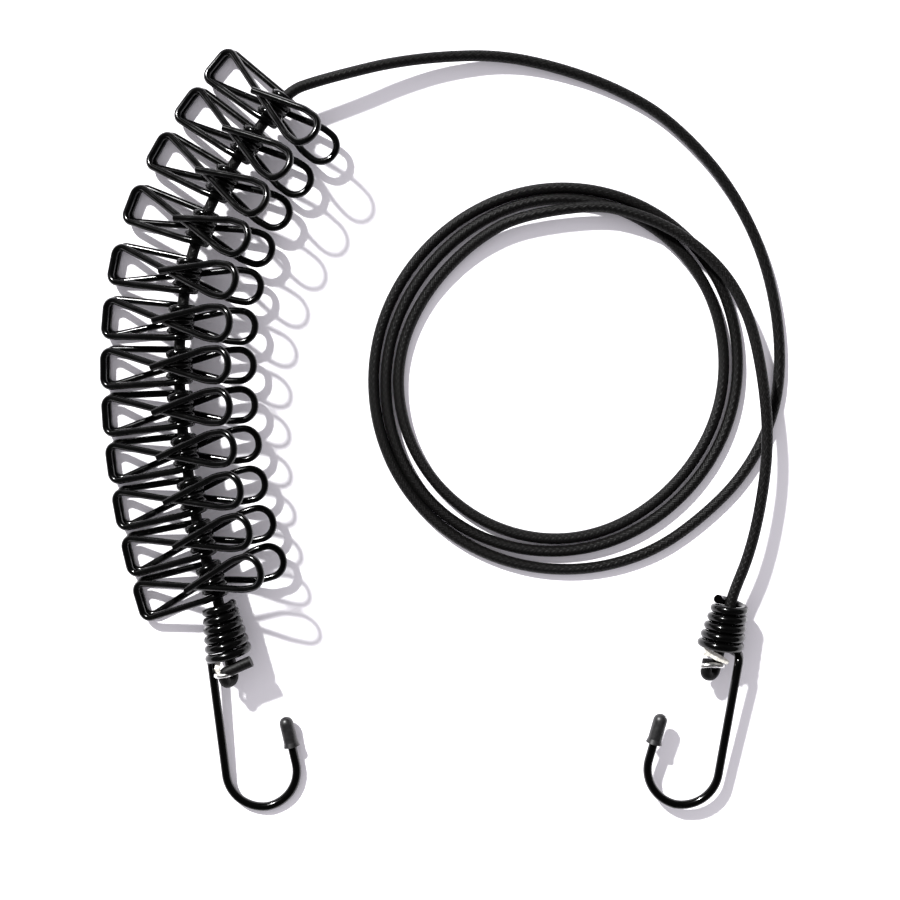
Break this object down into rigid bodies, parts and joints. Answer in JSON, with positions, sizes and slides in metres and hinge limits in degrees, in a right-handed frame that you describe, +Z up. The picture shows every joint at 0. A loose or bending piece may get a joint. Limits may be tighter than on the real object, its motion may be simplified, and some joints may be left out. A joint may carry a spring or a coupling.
{
  "type": "travel clothesline",
  "caption": "Elastic braided travel clothesline with sprung wire clothes clips bunched along it and a wire hook with a conical coil and capped tip at each end.",
  "frame": {"origin": "on the floor, under the middle of the clips and hooks as they lie", "axes": "+Z up from the floor, +Y from the hooks towards the far bend of the cord, +X from the clips towards the free coil of cord"},
  "size_m": [0.2468, 0.2744, 0.0295],
  "materials": {
    "coated_wire": "gloss",
    "cap_rubber": "matte",
    "cord_fabric": "matte",
    "crimp_metal": "satin"
  },
  "bodies": {
    "line": {"cord_lead": "cord_fabric", "cord_coil": "cord_fabric", "cord_tail": "cord_fabric"},
    "hook_left": {"hook_left": "coated_wire", "cap_left": "cap_rubber", "crimp_left": "crimp_metal", "cord_fold_left": "cord_fabric"},
    "hook_right": {"hook_right": "coated_wire", "cap_right": "cap_rubber", "crimp_right": "crimp_metal", "cord_fold_right": "cord_fabric"},
    "clip_01": {"clip_01_coil": "coated_wire", "clip_01_lower_arm": "coated_wire"},
    "clip_01_upper": {"clip_01_upper_arm": "coated_wire"},
    "clip_02": {"clip_02_coil": "coated_wire", "clip_02_lower_arm": "coated_wire"},
    "clip_02_upper": {"clip_02_upper_arm": "coated_wire"},
    "clip_03": {"clip_03_coil": "coated_wire", "clip_03_lower_arm": "coated_wire"},
    "clip_03_upper": {"clip_03_upper_arm": "coated_wire"},
    "clip_04": {"clip_04_coil": "coated_wire", "clip_04_lower_arm": "coated_wire"},
    "clip_04_upper": {"clip_04_upper_arm": "coated_wire"},
    "clip_05": {"clip_05_coil": "coated_wire", "clip_05_lower_arm": "coated_wire"},
    "clip_05_upper": {"clip_05_upper_arm": "coated_wire"},
    "clip_06": {"clip_06_coil": "coated_wire", "clip_06_lower_arm": "coated_wire"},
    "clip_06_upper": {"clip_06_upper_arm": "coated_wire"},
    "clip_07": {"clip_07_coil": "coated_wire", "clip_07_lower_arm": "coated_wire"},
    "clip_07_upper": {"clip_07_upper_arm": "coated_wire"},
    "clip_08": {"clip_08_coil": "coated_wire", "clip_08_lower_arm": "coated_wire"},
    "clip_08_upper": {"clip_08_upper_arm": "coated_wire"},
    "clip_09": {"clip_09_coil": "coated_wire", "clip_09_lower_arm": "coated_wire"},
    "clip_09_upper": {"clip_09_upper_arm": "coated_wire"},
    "clip_10": {"clip_10_coil": "coated_wire", "clip_10_lower_arm": "coated_wire"},
    "clip_10_upper": {"clip_10_upper_arm": "coated_wire"},
    "clip_11": {"clip_11_coil": "coated_wire", "clip_11_lower_arm": "coated_wire"},
    "clip_11_upper": {"clip_11_upper_arm": "coated_wire"},
    "clip_12": {"clip_12_coil": "coated_wire", "clip_12_lower_arm": "coated_wire"},
    "clip_12_upper": {"clip_12_upper_arm": "coated_wire"}
  },
  "joints": [
    {"name": "hook_left_swivel", "type": "hinge", "parent": "line", "child": "hook_left", "pos_m": [-0.07165, -0.0621, 0.0107], "axis": [0.1782, -0.9807, -0.0802], "continuous": true},
    {"name": "hook_right_swivel", "type": "hinge", "parent": "line", "child": "hook_right", "pos_m": [0.1094, -0.06085, 0.0103], "axis": [-0.2187, -0.9705, -0.1011], "continuous": true},
    {"name": "clip_01_swing", "type": "hinge", "parent": "line", "child": "clip_01", "pos_m": [-0.0519, 0.11375, 0.01095], "axis": [-0.6353, -0.7723, 0], "range_deg": [-20, 20]},
    {"name": "clip_01_open", "type": "hinge", "parent": "clip_01", "child": "clip_01_upper", "pos_m": [-0.0519, 0.11375, 0.01095], "axis": [0.6353, 0.7723, 0], "range_deg": [0, 30], "stiffness_Nm_per_rad": 0.05, "springref_deg": -11.46, "deforming": ["clip_01_coil"]},
    {"name": "clip_02_swing", "type": "hinge", "parent": "line", "child": "clip_02", "pos_m": [-0.06175, 0.10105, 0.01095], "axis": [-0.59, -0.8074, 0], "range_deg": [-20, 20]},
    {"name": "clip_02_open", "type": "hinge", "parent": "clip_02", "child": "clip_02_upper", "pos_m": [-0.06175, 0.10105, 0.01095], "axis": [0.59, 0.8074, 0], "range_deg": [0, 30], "stiffness_Nm_per_rad": 0.05, "springref_deg": -11.46, "deforming": ["clip_02_coil"]},
    {"name": "clip_03_swing", "type": "hinge", "parent": "line", "child": "clip_03", "pos_m": [-0.0706, 0.0873, 0.01095], "axis": [-0.4923, -0.8705, 0], "range_deg": [-20, 20]},
    {"name": "clip_03_open", "type": "hinge", "parent": "clip_03", "child": "clip_03_upper", "pos_m": [-0.0706, 0.0873, 0.01095], "axis": [0.4923, 0.8705, 0], "range_deg": [0, 30], "stiffness_Nm_per_rad": 0.05, "springref_deg": -11.46, "deforming": ["clip_03_coil"]},
    {"name": "clip_04_swing", "type": "hinge", "parent": "line", "child": "clip_04", "pos_m": [-0.07795, 0.0716, 0.01095], "axis": [-0.359, -0.9333, 0], "range_deg": [-20, 20]},
    {"name": "clip_04_open", "type": "hinge", "parent": "clip_04", "child": "clip_04_upper", "pos_m": [-0.07795, 0.0716, 0.01095], "axis": [0.359, 0.9333, 0], "range_deg": [0, 30], "stiffness_Nm_per_rad": 0.05, "springref_deg": -11.46, "deforming": ["clip_04_coil"]},
    {"name": "clip_05_swing", "type": "hinge", "parent": "line", "child": "clip_05", "pos_m": [-0.08285, 0.05465, 0.01095], "axis": [-0.1906, -0.9817, 0], "range_deg": [-20, 20]},
    {"name": "clip_05_open", "type": "hinge", "parent": "clip_05", "child": "clip_05_upper", "pos_m": [-0.08285, 0.05465, 0.01095], "axis": [0.1906, 0.9817, 0], "range_deg": [0, 30], "stiffness_Nm_per_rad": 0.05, "springref_deg": -11.46, "deforming": ["clip_05_coil"]},
    {"name": "clip_06_swing", "type": "hinge", "parent": "line", "child": "clip_06", "pos_m": [-0.08515, 0.03825, 0.01095], "axis": [-0.082, -0.9966, 0], "range_deg": [-20, 20]},
    {"name": "clip_06_open", "type": "hinge", "parent": "clip_06", "child": "clip_06_upper", "pos_m": [-0.08515, 0.03825, 0.01095], "axis": [0.082, 0.9966, 0], "range_deg": [0, 30], "stiffness_Nm_per_rad": 0.05, "springref_deg": -11.46, "deforming": ["clip_06_coil"]},
    {"name": "clip_07_swing", "type": "hinge", "parent": "line", "child": "clip_07", "pos_m": [-0.08575, 0.0226, 0.01095], "axis": [0.0065, -1, 0], "range_deg": [-20, 20]},
    {"name": "clip_07_open", "type": "hinge", "parent": "clip_07", "child": "clip_07_upper", "pos_m": [-0.08575, 0.0226, 0.01095], "axis": [-0.0065, 1, 0], "range_deg": [0, 30], "stiffness_Nm_per_rad": 0.05, "springref_deg": -11.46, "deforming": ["clip_07_coil"]},
    {"name": "clip_08_swing", "type": "hinge", "parent": "line", "child": "clip_08", "pos_m": [-0.0852, 0.0073, 0.01095], "axis": [0.0661, -0.9978, 0], "range_deg": [-20, 20]},
    {"name": "clip_08_open", "type": "hinge", "parent": "clip_08", "child": "clip_08_upper", "pos_m": [-0.0852, 0.0073, 0.01095], "axis": [-0.0661, 0.9978, 0], "range_deg": [0, 30], "stiffness_Nm_per_rad": 0.05, "springref_deg": -11.46, "deforming": ["clip_08_coil"]},
    {"name": "clip_09_swing", "type": "hinge", "parent": "line", "child": "clip_09", "pos_m": [-0.0837, -0.00795, 0.01095], "axis": [0.1288, -0.9917, 0], "range_deg": [-20, 20]},
    {"name": "clip_09_open", "type": "hinge", "parent": "clip_09", "child": "clip_09_upper", "pos_m": [-0.0837, -0.00795, 0.01095], "axis": [-0.1288, 0.9917, 0], "range_deg": [0, 30], "stiffness_Nm_per_rad": 0.05, "springref_deg": -11.46, "deforming": ["clip_09_coil"]},
    {"name": "clip_10_swing", "type": "hinge", "parent": "line", "child": "clip_10", "pos_m": [-0.0813, -0.0233, 0.01095], "axis": [0.18, -0.9837, 0], "range_deg": [-20, 20]},
    {"name": "clip_10_open", "type": "hinge", "parent": "clip_10", "child": "clip_10_upper", "pos_m": [-0.0813, -0.0233, 0.01095], "axis": [-0.18, 0.9837, 0], "range_deg": [0, 30], "stiffness_Nm_per_rad": 0.05, "springref_deg": -11.46, "deforming": ["clip_10_coil"]},
    {"name": "clip_11_swing", "type": "hinge", "parent": "line", "child": "clip_11", "pos_m": [-0.0781, -0.0384, 0.01095], "axis": [0.2349, -0.972, 0], "range_deg": [-20, 20]},
    {"name": "clip_11_open", "type": "hinge", "parent": "clip_11", "child": "clip_11_upper", "pos_m": [-0.0781, -0.0384, 0.01095], "axis": [-0.2349, 0.972, 0], "range_deg": [0, 30], "stiffness_Nm_per_rad": 0.05, "springref_deg": -11.46, "deforming": ["clip_11_coil"]},
    {"name": "clip_12_swing", "type": "hinge", "parent": "line", "child": "clip_12", "pos_m": [-0.07415, -0.05305, 0.0109], "axis": [0.2861, -0.9582, -0.0067], "range_deg": [-20, 20]},
    {"name": "clip_12_open", "type": "hinge", "parent": "clip_12", "child": "clip_12_upper", "pos_m": [-0.07415, -0.05305, 0.0109], "axis": [-0.2861, 0.9582, 0.0067], "range_deg": [0, 30], "stiffness_Nm_per_rad": 0.05, "springref_deg": -11.46, "deforming": ["clip_12_coil"]}
  ]
}
